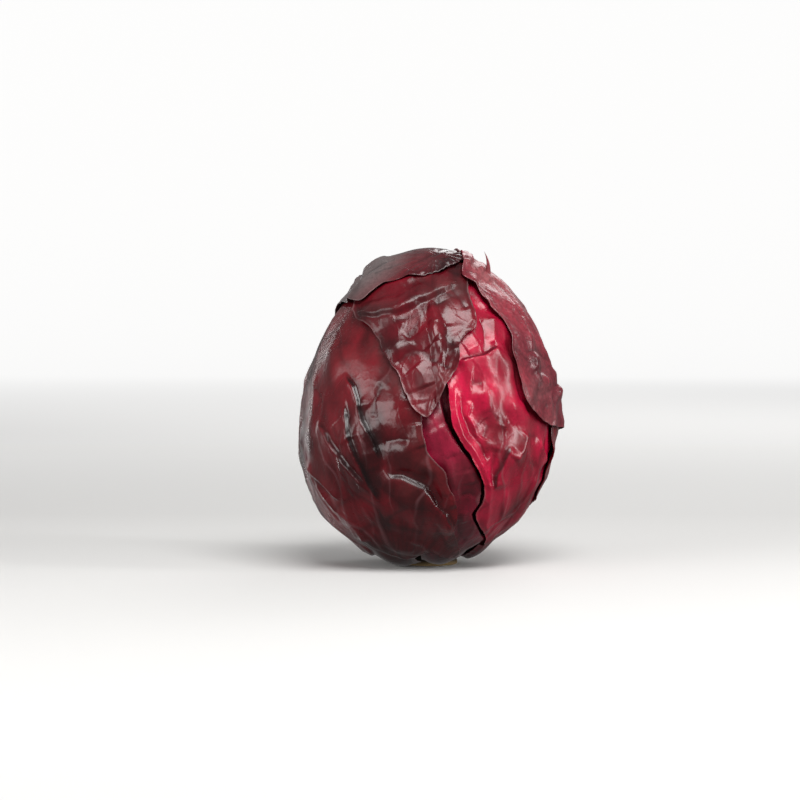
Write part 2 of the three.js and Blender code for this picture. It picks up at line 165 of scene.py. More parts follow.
# The stump isn't quite round: it has slow swells and small ribs.
wobble = 1 - 0.022 * (1 + swell(compass * 30, 22)) - 0.012 * (1 + swell(compass * 30, 7))
points = [[0, 0, 0]]
for radius in face_rings:
    strand = np.cos(STRANDS * angle) * math.exp(-(((radius - STRAND_RING) / 1.1) ** 2))
    spot = compass * radius * wobble[:, None]
    band = math.exp(-(((radius - STRAND_RING) / 1.6) ** 2))
    grain = 0.16 * (1 + swell(spot, 2.4)) + 0.22 * (1 + strand) * band
    dried = grain * min(1.0, radius / 2) * (radius < 14)
    points += (spot + np.stack([0 * dried, 0 * dried, dried], 1)).tolist()
for radius, height in side_rings:
    spot = compass * radius * wobble[:, None] * (1 - 0.012 * (1 + swell(compass * 40, 5)))[:, None]
    spot[:, 2] = height
    points += spot.tolist()
points.append([0, 0, STEM_TOP])
faces = []
rows = len(face_rings) + len(side_rings)
for i in range(STEM_SIDES):
    j = (i + 1) % STEM_SIDES
    faces.append((0, 1 + j, 1 + i))
    for row in range(rows - 1):
        near, far = 1 + row * STEM_SIDES, 1 + (row + 1) * STEM_SIDES
        faces.append((near + i, near + j, far + j, far + i))
    last = 1 + (rows - 1) * STEM_SIDES
    faces.append((last + i, last + j, len(points) - 1))

# Cut pith that has dried for a day: matt and fibrous, cream in the middle, browner at the ring of strands
# and towards the rim. The side is dark green-brown: the skin's own colour, darkened as painted shade where it
# stands under the head. Its fibres are drawn 0.9 mm across and the strands' ends 1.3 mm, both coarser than
# real ones, so that they show.
cut_stem, tree, output = material("cut_cabbage_stem")
place = add(tree, "ShaderNodeTexCoord").outputs["Object"]
parts = add(tree, "ShaderNodeSeparateXYZ", {"Vector": place}).outputs
flat = add(tree, "ShaderNodeCombineXYZ", {"X": parts["X"], "Y": parts["Y"]}).outputs[0]
radius = add(tree, "ShaderNodeVectorMath", {0: flat}, operation="LENGTH").outputs["Value"]
ragged = maths(tree, "MULTIPLY_ADD", noise(tree, place, PER_MM / 5, 5.0), 0.003, radius)
zones = remap(tree, ragged, 0.0, 0.0165)
ramp = add(tree, "ShaderNodeValToRGB", {"Fac": zones})
for position, colour in (
    (0.0, "#cfc79f"), (0.5, "#d8cfa6"), (0.62, "#a98f5d"), (0.72, "#c2b183"), (0.9, "#8a7147")
):
    stop = ramp.color_ramp.elements.new(position)
    stop.color = linear(colour)
ramp.color_ramp.elements.remove(ramp.color_ramp.elements[-1])
strands = add(tree, "ShaderNodeTexVoronoi", {"Vector": place, "Scale": PER_MM / 1.3}).outputs["Distance"]
speck = remap(tree, strands, 0.1, 0.5, high=0.35)
specked = blend(tree, speck, ramp.outputs[0], "#7c6238")
height = remap(tree, parts["Z"], 0.0008, 0.003)
# The side: the skin's own green-brown, painted dark as shade under the head.
skin_and_shade = blend(tree, height, specked, "#2b2419")
fibre = noise(tree, place, PER_MM / 0.9, 6.0)
bump = add(tree, "ShaderNodeBump", {"Height": fibre, "Distance": 0.0004, "Strength": 0.8}).outputs[0]
shader = add(tree, "ShaderNodeBsdfPrincipled", {"Base Color": skin_and_shade, "Roughness": 0.62, "Normal": bump})
tree.links.new(shader.outputs[0], output.inputs[0])

stem = mesh_piece("cut_stem", points, faces, cut_stem)
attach(stem, "root")
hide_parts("stem")

# The inner front leaf
# The leaf that shows between the two front leaves, pressed on the heart. It is as crimson as a leaf that has
# had little light, and it dips along the dark split beside the right front leaf.
#
# Every wrapper leaf is made the same way. It is laid over the heart and over the leaves before it, has its
# own outline, and gets its shape from given folds, from veins that fan out of its stalk, and from
# blisters.
HEAD_WIDTH = 139
HEAD_DEPTH = 136
HEAD_HEIGHT = 167
WIDEST_HEIGHT = 72
ASIDE = -2.2  # how far the head's middle is to the side of the stem
WRAP_DEPTH = 7.5  # what the wrapper leaves add to the heart, all round
STEM_CLEARANCE = 9  # from the cut face up to the heart
FULLNESS = 2.1  # power of the egg's curve: 2 is an ellipse, more is squarer
FULLNESS_BELOW = 0.18  # added below the widest place, and taken off above it
SKEW = 0.055  # how much the upper right and lower left bulge, and the two other corners are flattened
HEART_MIDDLE = np.array([ASIDE, 0.0, WIDEST_HEIGHT])
HEART_SIDE = HEAD_WIDTH / 2 - WRAP_DEPTH
HEART_FRONT = HEAD_DEPTH / 2 - WRAP_DEPTH
HEART_UP = HEAD_HEIGHT - WIDEST_HEIGHT - WRAP_DEPTH
HEART_DOWN = WIDEST_HEIGHT - STEM_CLEARANCE


def heart_radius(ways):
    """The heart's radius along unit vectors from its middle."""
    x, y, z = ways.T
    power = FULLNESS - FULLNESS_BELOW * z
    rise = np.where(z > 0, HEART_UP, HEART_DOWN)
    total = np.abs(x / HEART_SIDE) ** power + np.abs(y / HEART_FRONT) ** power + np.abs(z / rise) ** power
    return total ** (-1 / power) * (1 + SKEW * x * z)


def unit(vectors):
    return vectors / np.linalg.norm(vectors, axis=-1, keepdims=True)


def above(ways, height):
    """The points that are some height over the heart."""
    return HEART_MIDDLE + ways * (heart_radius(ways) + height)[:, None]


def cast_out(start, way, lift):
    """The place where a line from inside the head meets the middle of the wrapper leaves."""
    near, far = 0.0, 200.0
    for _ in range(36):  # each halves what is left, down to far less than a micrometre
        middle = (near + far) / 2
        out = start + way * middle - HEART_MIDDLE
        if np.linalg.norm(out) < heart_radius(unit(out)[None])[0] + WRAP_DEPTH / 2:
            near = middle
        else:
            far = middle
    return unit(start + way * near - HEART_MIDDLE), lift


def towards(longitude):
    return np.array([math.sin(math.radians(longitude)), -math.cos(math.radians(longitude)), 0.0])


EDGE_LIFT = 0.5


def front(x, z, lift=EDGE_LIFT):
    """A place on the front of the head, by its millimetres to the right of the stem and above the table."""
    return cast_out(np.array([x, 0.0, z]), np.array([0.0, -1.0, 0.0]), lift)


def around(longitude, z, lift=EDGE_LIFT):
    """A place by its degrees round the head, 0 in front and 90 at the right, and its height."""
    return cast_out(np.array([0.0, 0.0, z]), towards(longitude), lift)


def under(longitude, radius, lift=EDGE_LIFT):
    """A place below the head, by its degrees round the stem and its distance from the stem's axis."""
    return cast_out(towards(longitude) * radius + [0, 0, HEART_MIDDLE[2]], np.array([0.0, 0.0, -1.0]), lift)


STALK_START = 18  # from the stem's axis
STALK_HALF_ANGLE = 24
NECK_START = 30
NECK_HALF_ANGLE = 25
NECK_LIFT = 0.4


def stalk(longitude):
    """The narrow end by which a leaf grows from the stem."""
    return [
        under(longitude - NECK_HALF_ANGLE, NECK_START, NECK_LIFT),
        under(longitude - STALK_HALF_ANGLE, STALK_START, 0),
        under(longitude + STALK_HALF_ANGLE, STALK_START, 0),
        under(longitude + NECK_HALF_ANGLE, NECK_START, NECK_LIFT),
    ]


def placed(places):
    """Places as they are cast out. One that is given by plain numbers is on the front."""
    return [place if isinstance(place[0], np.ndarray) else front(*place) for place in places]


def fold(rise, width, *places, pale=0.0, dark=0.45, step=False):
    """A ridge, or a crease where its rise is negative, along a line of places. One place makes a puff.
    Where it is a step, the leaf is raised at the left of the line and drops sharply at its right. Dark is how
    much painted shade its crease gets."""
    ways = np.array([way for way, _ in placed(places)])
    line = above(ways, np.full(len(ways), WRAP_DEPTH / 2))
    return SimpleNamespace(rise=rise, width=width, line=line, pale=pale, dark=dark, step=step)


def step(rise, width, *places, dark=0.9):
    return fold(rise, width, *places, dark=dark, step=True)


def polar_chart(pole, toward):
    """Two functions between unit vectors and their turn and arc round a pole."""
    ahead = unit(toward - pole * (toward @ pole))
    aside = np.cross(pole, ahead)

    def locate(ways):
        along, across = ways @ ahead, ways @ aside
        return np.arctan2(across, along), np.arctan2(np.hypot(along, across), ways @ pole)

    def at(turn, arc):
        side = np.cos(turn)[:, None] * ahead + np.sin(turn)[:, None] * aside
        return np.cos(arc)[:, None] * pole + np.sin(arc)[:, None] * side

    return locate, at


def closed_curve(turns, values):
    """A smooth closed curve through values at sorted turns, which never swings past its values."""
    gap = np.mod(np.roll(turns, -1) - turns, 2 * math.pi)
    after = (np.roll(values, -1) - values) / gap
    before = np.roll(after, 1)
    same_way = before * after > 0
    slope = np.where(same_way, 2 * before * after / np.where(same_way, before + after, 1), 0)

    def curve(turn):
        begin = np.searchsorted(turns, turn, side="right") - 1
        end = (begin + 1) % len(turns)
        share = np.mod(turn - turns[begin], 2 * math.pi) / gap[begin]
        rest = 1 - share
        bend = rest * slope[begin] - share * slope[end]
        return (
            rest * rest * (1 + 2 * share) * values[begin]
            + share * share * (1 + 2 * rest) * values[end]
            + share * rest * gap[begin] * bend
        )

    return curve


RIM_STEPS = 1600
FRAY = 0.55  # how ragged a leaf's edge is, in millimetres
MEAN_RADIUS = 70  # the head's own, which turns millimetres along it into radians


def smooth_step(value, low, high):
    share = np.clip((value - low) / (high - low), 0, 1)
    return share * share * (3 - 2 * share)


def drawn(name, centre, stalk_at, level, flutes, outline, folds, blister=0.9, pucker=1.0):
    """A leaf that isn't laid yet: its charts, and its outline as a curve and as a line of points."""
    centre = centre[0]
    below = np.append((centre * heart_radius(centre[None]) + HEART_MIDDLE)[:2], 0.0) - HEART_MIDDLE
    root = unit(below) if stalk_at is None else under(stalk_at, STALK_START)[0]
    locate, at = polar_chart(centre, root)
    locate_in_fan, _ = polar_chart(root, centre)
    places = placed(outline) + ([] if stalk_at is None else stalk(stalk_at))
    turn, arc = locate(np.array([way for way, _ in places]))
    order = np.argsort(turn)
    smooth_reach = closed_curve(turn[order], arc[order])
    lift = closed_curve(turn[order], np.array([lift for _, lift in places])[order])

    def reach(turn):
        smooth = smooth_reach(turn)
        edge = above(at(turn, smooth), np.full(len(turn), WRAP_DEPTH / 2))
        ragged = swell(edge + 7 * level, 7) + 0.55 * swell(edge - 5 * level, 2.9)
        return smooth + FRAY * ragged / MEAN_RADIUS

    turns = math.pi * (2 * np.arange(RIM_STEPS + 1) / RIM_STEPS - 1)
    rim = above(at(turns, reach(turns)), np.full(len(turns), WRAP_DEPTH / 2))
    walked = np.append(0, np.cumsum(np.linalg.norm(np.diff(rim, axis=0), axis=1)))
    near_rim = kdtree.KDTree(len(rim))
    for i, point in enumerate(rim):
        near_rim.insert(point, i)
    near_rim.balance()
    return SimpleNamespace(
        name=name, locate=locate, at=at, locate_in_fan=locate_in_fan, reach=reach, lift=lift,
        near_rim=near_rim, turns=turns, walked=walked, level=level, flutes=flutes, folds=folds,
        blister=blister, pucker=pucker, ribbed=stalk_at is not None,
    )


def inside_by(leaf, ways):
    """How far inside a leaf's outline each place is, in millimetres, or outside where negative."""
    turn, arc = leaf.locate(ways)
    spots = above(ways, np.full(len(ways), WRAP_DEPTH / 2))
    distance = np.array([leaf.near_rim.find(spot)[2] for spot in spots.tolist()])
    return np.where(arc < leaf.reach(turn), distance, -distance)


def in_fan(leaf, ways):
    """Each place's angle from the leaf's midrib, and how far out from the stalk it is."""
    turn, arc = leaf.locate_in_fan(ways)
    return turn, arc * (heart_radius(ways) + WRAP_DEPTH)


DROP = 2.0  # how wide the drop of a step is


def folded(mark, spots, ways):
    """The share of its rise that one fold gives at each place, and how much painted shade darkens its crease
    there.
    A line fades out towards its ends."""
    line = mark.line
    low, high = line.min(0) - 3 * mark.width, line.max(0) + 3 * mark.width
    close = np.flatnonzero(((spots > low) & (spots < high)).all(1))
    share_of_rise = np.zeros(len(spots))
    painted_crease_shade = np.zeros(len(spots))
    if not len(close):
        return share_of_rise, painted_crease_shade
    near = spots[close]
    if len(line) == 1:
        distance = np.linalg.norm(near - line[0], axis=1)
        share_of_rise[close] = np.exp(-((distance / mark.width) ** 2))
        return share_of_rise, painted_crease_shade
    lengths = np.linalg.norm(np.diff(line, axis=0), axis=1)
    starts = np.append(0, np.cumsum(lengths))
    best = np.full(len(near), 1e9)
    along = np.zeros(len(near))
    left = np.zeros(len(near), bool)
    for i, length in enumerate(lengths):
        way = (line[i + 1] - line[i]) / length
        part = np.clip((near - line[i]) @ way, 0, length)
        away = near - line[i] - part[:, None] * way
        distance = np.linalg.norm(away, axis=1)
        closer = distance < best
        best[closer], along[closer] = distance[closer], (starts[i] + part)[closer]
        left[closer] = ((away * np.cross(ways[close], way)).sum(1) > 0)[closer]
    share = along / starts[-1]
    if mark.step:
        fade = smooth_step(share, 0, 0.16) * (1 - smooth_step(share, 0.84, 1))
        profile = np.where(left, np.exp(-((best / mark.width) ** 1.5)), 1 - smooth_step(best, 0, DROP))
        past = np.where(left, -best, best)
        crease = smooth_step(past, -0.2, 0.9) * np.exp(-((past / (1.9 + 2.0 * mark.dark**4)) ** 2))
    else:
        fade = np.clip(9 * share * (1 - share), 0.25, 1)
        profile = np.exp(-((best / mark.width) ** 1.3))
        crease = (mark.rise < 0) * np.exp(-((best / (0.5 * mark.width)) ** 2))
    share_of_rise[close] = fade * profile
    painted_crease_shade[close] = fade * crease * mark.dark
    return share_of_rise, painted_crease_shade


def vein_lines(leaf, turn, out, spots):
    """How much each place is on a vein, from 0 to 1. Veins fan out from the stalk and fork as they go."""
    if not leaf.ribbed:
        return np.zeros(len(turn))
    drift = 0.16 * swell(spots + 11 * leaf.level, 34) + 0.05 * swell(spots, 11)
    faint = np.clip(0.75 + swell(spots + 31 * leaf.level, 26), 0.15, 1)
    lines = np.zeros(len(turn))
    # Their spacing in radians, how far from the stalk they begin, their width, and how clear they are.
    kinds = ((0.47, 6, 1.2, 1.0), (0.235, 40, 0.8, 0.7), (0.1175, 80, 0.6, 0.5))
    for spacing, first, width, strength in kinds:
        off = np.abs(np.mod((turn + drift) / spacing + 0.5, 1) - 0.5) * spacing * np.maximum(out, 1)
        begun = smooth_step(out, first, first + 25)
        lines = np.maximum(lines, strength * begun * np.exp(-((off / width) ** 2)))
    return lines * faint * (1 - 0.5 * smooth_step(out, 40, 130))


def blisters(spots, size):
    """0 in the middle of scattered cells about size across, and rising to 1 on the lines between them."""
    place = spots / size
    cell = np.floor(place).astype(int)
    first = np.full(len(spots), 9.0)
    second = np.full(len(spots), 9.0)
    for beside in itertools.product((-1, 0, 1), repeat=3):
        seed = cell + beside
        distance = np.linalg.norm(seed + scatter[corner_key(seed)] - place, axis=1)
        second = np.minimum(second, np.maximum(first, distance))
        first = np.minimum(first, distance)
    return 1 - np.clip(second - first, 0, 0.6) / 0.6


FLUTES_PER_RADIAN = 3.2


def relief(leaf, ways):
    """The leaf's own ups and downs in millimetres, where its veins are, and how much painted shade its
    blister creases and folds get.
    """
    turn, out = in_fan(leaf, ways)
    spots = above(ways, np.full(len(ways), WRAP_DEPTH / 2))
    shifted = spots + 23 * leaf.level
    swayed = turn + 0.09 * np.sin(out / 24 + leaf.level)
    grown = smooth_step(out, 30, 90) * (1 - smooth_step(out, 130, 210) / 2)
    flute = leaf.flutes * grown * (1 + np.cos(2 * math.pi * FLUTES_PER_RADIAN * swayed)) / 2
    # Crumples that wander: blisters 21 and 8.5 mm across, and between them ridges and valleys.
    stirred = np.stack([swell(shifted, 19), swell(shifted + 50, 19), swell(shifted - 50, 19)], 1)
    warped = shifted + 6 * stirred
    crease = blisters(warped, 21) * smooth_step(swell(shifted + 70, 30), -0.5, 0.3)
    ridges = 0.3 - np.hypot(swell(warped + 90, 27), 0.03)
    valleys = np.hypot(swell(warped - 90, 23), 0.03) - 0.3
    small = blisters(shifted + 2.5 * stirred, 8.5)
    veins = vein_lines(leaf, turn, out, spots)
    own = (
        flute
        + 0.8 * leaf.pucker * swell(shifted, 34)
        + 1.7 * leaf.pucker * ridges
        + 1.3 * leaf.pucker * valleys
        - leaf.blister * crease**2
        - 0.14 * leaf.blister * small**2
        + 0.25 * veins
    )
    # Painted shade in the blister creases.
    crease = 0.5 * crease**3
    # The folds, each along a line that sways by half a millimetre.
    wavy = spots + 0.5 * np.stack([swell(spots, 10), swell(spots + 60, 10), swell(spots - 60, 10)], 1)
    for one in leaf.folds:
        share, painted_crease_shade = folded(one, wavy, ways)
        own += one.rise * share
        veins = np.maximum(veins, one.pale * share)
        # Each fold's painted shade in its crease.
        crease = np.maximum(crease, painted_crease_shade)
    return own, veins, crease


RIB_HEIGHT = 2.4
RIB_LENGTH = 105
RIB_WIDTH = 4.5  # at its thin end, and RIB_SPREAD is what the stalk adds
RIB_SPREAD = 3
RIB_MARGIN = 4  # how far from the leaf's edge it stops
LEAF_THICKNESS = 0.95
EDGE_THICKNESS = 0.4
EDGE_TAPER = 3.0  # width of the thinned band along the edge


def thickness(leaf, ways, inside):
    """A leaf is thick along its midrib and at its stalk, and thins out at its edge."""
    turn, out = in_fan(leaf, ways)
    along = np.where(np.cos(turn) > 0, 1 - smooth_step(out, 0, RIB_LENGTH), 0)
    across = out * np.sin(turn) / (RIB_WIDTH + RIB_SPREAD * along)
    rib = RIB_HEIGHT * leaf.ribbed * along * np.exp(-(across**2)) * smooth_step(inside, 0, RIB_MARGIN)
    edge = 1 - smooth_step(inside, 0, EDGE_TAPER)
    return LEAF_THICKNESS + rib - (LEAF_THICKNESS - EDGE_THICKNESS) * edge


LEAF_GAP = 0.35  # clear space between a leaf and what it lies on
SLACK = 0.7  # how much room a leaf leaves for its hollows where it lies on another
FOOT_HEIGHT = 6.2  # how far the thick leaf bases in front of the stem stand off the heart
CLEARANCE = 1.8  # how far beyond its edge a leaf holds up what lies on it
STACKED_CLEARANCE = 0.7  # and how much farther for each leaf in between
DRAPE = 8.0  # how far from there a leaf settles down again
LIFT_BAND = 6.0  # how far in from its edge a leaf stands off
CURL = 0.5  # how much the very edge curls up, and how far in
CURL_BAND = 1.6
laid = []  # the leaves that are on the head so far


def foot(ways):
    """How far the leaf bases in front of the stem keep the leaves off the heart."""
    x, y, z = ways.T
    round_stem = 1 - smooth_step(np.hypot(x, y), 0.32, 0.7)
    in_front = 1 - smooth_step(y, -0.12, 0.2)
    return FOOT_HEIGHT * (z < 0) * round_stem * in_front


def lie_on(leaves, ways):
    """The last leaf's inner face over the heart, after all are laid in turn, and what it is like there."""
    floor = foot(ways)
    for order, leaf in enumerate(leaves):
        last = leaf is leaves[-1]
        inside = inside_by(leaf, ways)
        clearance = CLEARANCE + STACKED_CLEARANCE * (len(leaves) - 2 - order)
        cover = np.ones(len(ways)) if last else smooth_step(inside, -DRAPE - clearance, -clearance)
        here = np.flatnonzero(cover > 0)
        if not len(here):
            continue
        own, veins, crease = relief(leaf, ways[here])
        turn, _ = leaf.locate(ways[here])
        lift = leaf.lift(turn)
        near = np.maximum(inside[here], 0)
        ripple = 1 + 0.45 * swell(above(ways[here], np.zeros(len(here))) + leaf.level, 9)
        _, out = in_fan(leaf, ways[here])
        loose = smooth_step(out, 6, 48) if leaf.ribbed else 1
        raised = loose * (lift * ripple * np.exp(-near / LIFT_BAND) + CURL * np.exp(-near / CURL_BAND))
        rest = floor[here] + LEAF_GAP
        slack = rest + SLACK * loose
        lying = (slack + leaf.level + np.hypot(slack - leaf.level, 0.6)) / 2 + own * (0.3 + 0.7 * loose)
        height = (rest + lying + np.hypot(rest - lying, 0.3)) / 2 + raised
        if last:
            return height, inside, veins, crease
        top = (height + thickness(leaf, ways[here], inside[here])) * cover[here]
        floor[here] = np.maximum(floor[here], top)


SECTORS = 6


def leaf_piece(leaf, rings, skin):
    """A leaf as a net of rings round its centre, closed by a second face below and by its edge."""
    laid.append(leaf)
    ways = []
    for ring in range(rings + 1):
        count = max(1, SECTORS * ring)
        way = np.arange(count) / count * leaf.walked[-1]
        turn = np.interp(way, leaf.walked, leaf.turns)
        rest = 1 - ring / rings
        ways.append(leaf.at(turn, leaf.reach(turn) * (1 - 0.72 * rest - 0.28 * rest**2)))
    ways = np.concatenate(ways)
    height, inside, veins, crease = lie_on(laid, ways)
    inside[-SECTORS * rings :] = 0
    thick = thickness(leaf, ways, inside)
    turn, out = in_fan(leaf, ways)
    points = np.concatenate([above(ways, height + thick), above(ways, height)])
    first = [0] + [1 + SECTORS * ring * (ring - 1) // 2 for ring in range(1, rings + 1)]
    net = []
    for ring in range(1, rings + 1):
        far, near = SECTORS * ring, max(1, SECTORS * (ring - 1))
        sector, place = np.divmod(np.arange(far), ring)
        outer = first[ring] + np.stack([sector * ring + place, (sector * ring + place + 1) % far], 1)
        inner = first[ring - 1] + (sector * (ring - 1) + place) % near
        net.append(np.stack([inner, outer[:, 0], outer[:, 1]], 1))
        keep = place < ring - 1
        beside = first[ring - 1] + (sector * (ring - 1) + place + 1) % near
        net.append(np.stack([inner, outer[:, 1], beside], 1)[keep])
    net = np.concatenate(net)
    back = len(ways)
    rim = first[rings] + np.arange(SECTORS * rings)
    onward = np.roll(rim, -1)
    sides = np.stack([onward, rim, back + rim, back + onward], 1)
    piece = mesh_piece(
        leaf.name, points, net.tolist() + (back + net[:, [0, 2, 1]]).tolist() + sides.tolist(), skin
    )
    facts = {
        "edge_distance": np.tile(inside, 2),
        "vein": np.tile(veins, 2),
        # the share of painted shade in the creases and the split
        "crease": np.tile(crease, 2),
        "fan_angle": np.tile(turn, 2),
        "from_stalk": np.tile(out, 2),
    }
    for name, values in facts.items():
        layer = piece.data.attributes.new(name, "FLOAT", "POINT")
        layer.data.foreach_set("value", values.astype(np.float32))
    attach(piece, "root")
    return piece


def leaf_skin(name, deep, bright, bloom, bloom_share, seed, gloss=0.27, base="#200c0b", grain=0.1, aged=None):
    """The waxy skin of a red cabbage leaf: colour in swells and in streaks along the veins, a grey bloom of
    wax that dulls the gloss in patches, and paler veins. Its edge is paler, partly its own colour and partly
    a painted highlight; towards the stem it darkens, partly to its own dark green-brown base and partly as
    painted shade low on the head; and its creases get painted shade. The wax is thickest round an aged place,
    which is given with its radius in millimetres."""
    made, tree, output = material(name)
    place = add(tree, "ShaderNodeTexCoord").outputs["Object"]
    edge_distance, vein, crease, fan_angle, from_stalk = (
        add(tree, "ShaderNodeAttribute", attribute_name=fact).outputs["Fac"]
        for fact in ("edge_distance", "vein", "crease", "fan_angle", "from_stalk")
    )
    moved = add(
        tree, "ShaderNodeVectorMath", {0: place, 1: (seed, seed * 0.7, -seed)}, operation="ADD"
    ).outputs[0]
    across = maths(tree, "MULTIPLY", fan_angle, 9.0)
    along = maths(tree, "MULTIPLY", from_stalk, 1 / 30)
    fan = add(tree, "ShaderNodeCombineXYZ", {"X": across, "Y": along, "Z": seed * 10}).outputs[0]

    # Swells of colour about 34 mm across, streaks along the veins that are a ninth of a radian wide and 30 mm
    # long, and patches of wax about 24 mm across.
    swells = noise(tree, moved, PER_MM / 34, 2.0)
    streaks = noise(tree, fan, 1.0, 3.0)
    patches = noise(tree, moved, PER_MM / 24, 3.0)
    both = maths(tree, "MULTIPLY_ADD", streaks, 0.4, swells)
    red = blend(tree, remap(tree, both, 0.52, 0.86), deep, bright)
    waxed = remap(tree, patches, 0.45, 0.7, high=bloom_share)
    if aged:
        spot = [value / PER_MM for value in above(aged[0][None], [8.0])[0]]
        far = add(tree, "ShaderNodeVectorMath", {0: place, 1: spot}, operation="DISTANCE").outputs["Value"]
        reach = aged[1] / PER_MM
        waxed = maths(tree, "MAXIMUM", waxed, remap(tree, far, 0.45 * reach, reach, 0.85, 0.0, "SMOOTHSTEP"))
    bloomed = blend(tree, waxed, red, bloom)

    # Fine mottling, paler veins, the darker base (its own green-brown and painted shade low on the head), the
    # paler edge (its own colour and a painted highlight) and painted shade in the creases. The specks are
    # drawn
    # 1.8 mm across, coarser than the skin's own, so that they show.
    specks = noise(tree, place, PER_MM / 1.8, 3.0)
    shade = remap(tree, specks, 0.25, 0.75, 1 - 1.2 * grain, 1 + 1.2 * grain)
    mottled = add(tree, "ShaderNodeHueSaturation", {"Value": shade, "Color": bloomed}).outputs[0]
    veined = blend(tree, remap(tree, vein, 0.2, 1.0, high=0.45), mottled, "#8b5e62")
    # Darker towards the stalk: partly the leaf's own green-brown base, partly painted shade low on the head.
    uneven = maths(tree, "MULTIPLY_ADD", streaks, 30.0, from_stalk)
    base_and_shade = blend(tree, remap(tree, uneven, 16.0, 72.0, 0.9, 0.0, "SMOOTHSTEP"), veined, base)
    # A paler edge in patches: partly the margin's own colour, partly a painted highlight along it.
    at_edge = remap(tree, edge_distance, 0.1, 0.8, 0.4, 0.0)
    pale_edge_and_highlight = maths(tree, "MULTIPLY", at_edge, remap(tree, patches, 0.42, 0.6))
    edged = blend(tree, pale_edge_and_highlight, base_and_shade, "#9a7b7c")
    # Painted shade, nearly black, in the creases and down the split.
    colour = blend(tree, remap(tree, crease, 0.1, 0.9, high=0.93), edged, "#0b0102")

    # The skin's own relief: a faint net of veins about 5 mm apart, and a soft grain.
    net = add(
        tree, "ShaderNodeTexVoronoi", {"Vector": place, "Scale": PER_MM / 5}, feature="DISTANCE_TO_EDGE"
    )
    lines = remap(tree, net.outputs["Distance"], 0.0, 0.2, 0.3 * grain, 0.0, "SMOOTHSTEP")
    raised = maths(tree, "MULTIPLY_ADD", noise(tree, place, PER_MM / 3.4, 3.0), grain, lines)
    inputs = {
        "Base Color": colour,
        "Roughness": remap(tree, patches, 0.4, 0.68, gloss - 0.02, gloss + 0.1, "SMOOTHSTEP"),
        "IOR": 1.44,
        "Coat Weight": 0.2,
        "Coat Roughness": 0.22,
        "Coat IOR": 1.44,
        "Normal": add(
            tree, "ShaderNodeBump", {"Height": raised, "Distance": 0.001, "Strength": 1.0}
        ).outputs[0],
    }
    tree.links.new(add(tree, "ShaderNodeBsdfPrincipled", inputs).outputs[0], output.inputs[0])
    return made


young_leaf = leaf_skin("young_crimson_leaf", "#6c0f22", "#a81c3e", "#6b3f42", 0.12, 0.31)
leaf = drawn(
    "leaf_inner_front",
    centre=around(8, 52),
    stalk_at=14,
    level=0.9,
    flutes=0.3,
    outline=[
        under(48, 36, 0.2), (45, 30), (48, 60), (36, 92), (12, 108), (-14, 104), (-33, 84), (-42, 50),
        (-32, 20),
    ],
    folds=[
        # The step down into the split beside the right front leaf, whose floor is painted nearly black as
        # shade.
        fold(
            3.7, 45, (29.5, 15), (25.9, 19), (22.3, 25.7), (20.2, 31.8), (24, 37.9), (24.6, 42.7),
            (24.2, 48.8), (20.8, 56.1), (16, 63.4), (10.5, 71.3), (6.8, 79.2), (4.3, 89.6), (4, 99),
            step=True, dark=1.15,
        ),
        fold(1.0, 2.6, (0, 84), (2.5, 77), (5, 69), (8, 60), (10, 52), (12.5, 44)),
        fold(1.3, 4.5, (4, 78), (9, 70), (14, 62)),
        fold(1.2, 4, (18, 55), (20, 48)),
        fold(-0.7, 1.6, (7, 61), (12, 63)),
        fold(-0.8, 1.6, (14, 41.5), (19, 43), (23, 42)),
        fold(1.0, 2.5, (16, 34), (16.5, 27)),
        fold(2.8, 6.5, (29, 14.5), under(52, 34), under(48, 26), under(45, 19)),
        fold(-0.9, 3, (13, 30), (14, 22), (18, 16)),
    ],
    blister=0.3,
    pucker=0.6,
)
piece = leaf_piece(leaf, 76, young_leaf)
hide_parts("inner_front_leaf")

# The back leaf
# The big leaf at the left of the back, under the crown leaf. It has had more light than the front leaves:
# darker, with more wax.
dark_leaf = leaf_skin("dark_wrapper_leaf", "#2b080d", "#5c111d", "#5c4444", 0.3, 1.7, gloss=0.28, grain=0.16)
leaf = drawn(
    "leaf_back",
    centre=around(-150, 66),
    stalk_at=-118,
    level=1.9,
    flutes=0.9,
    outline=[
        under(-66, 36, 0), around(-80, 34, 0), around(-84, 68, -0.5), around(-98, 104, 0), around(-138, 126),
        around(175, 124), around(152, 96), around(146, 58), around(158, 28),
    ],
    folds=[fold(2.0, 7, around(-150, 30), around(-160, 60), around(-172, 90))],
)
piece = leaf_piece(leaf, 64, dark_leaf)
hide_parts("back_leaf")

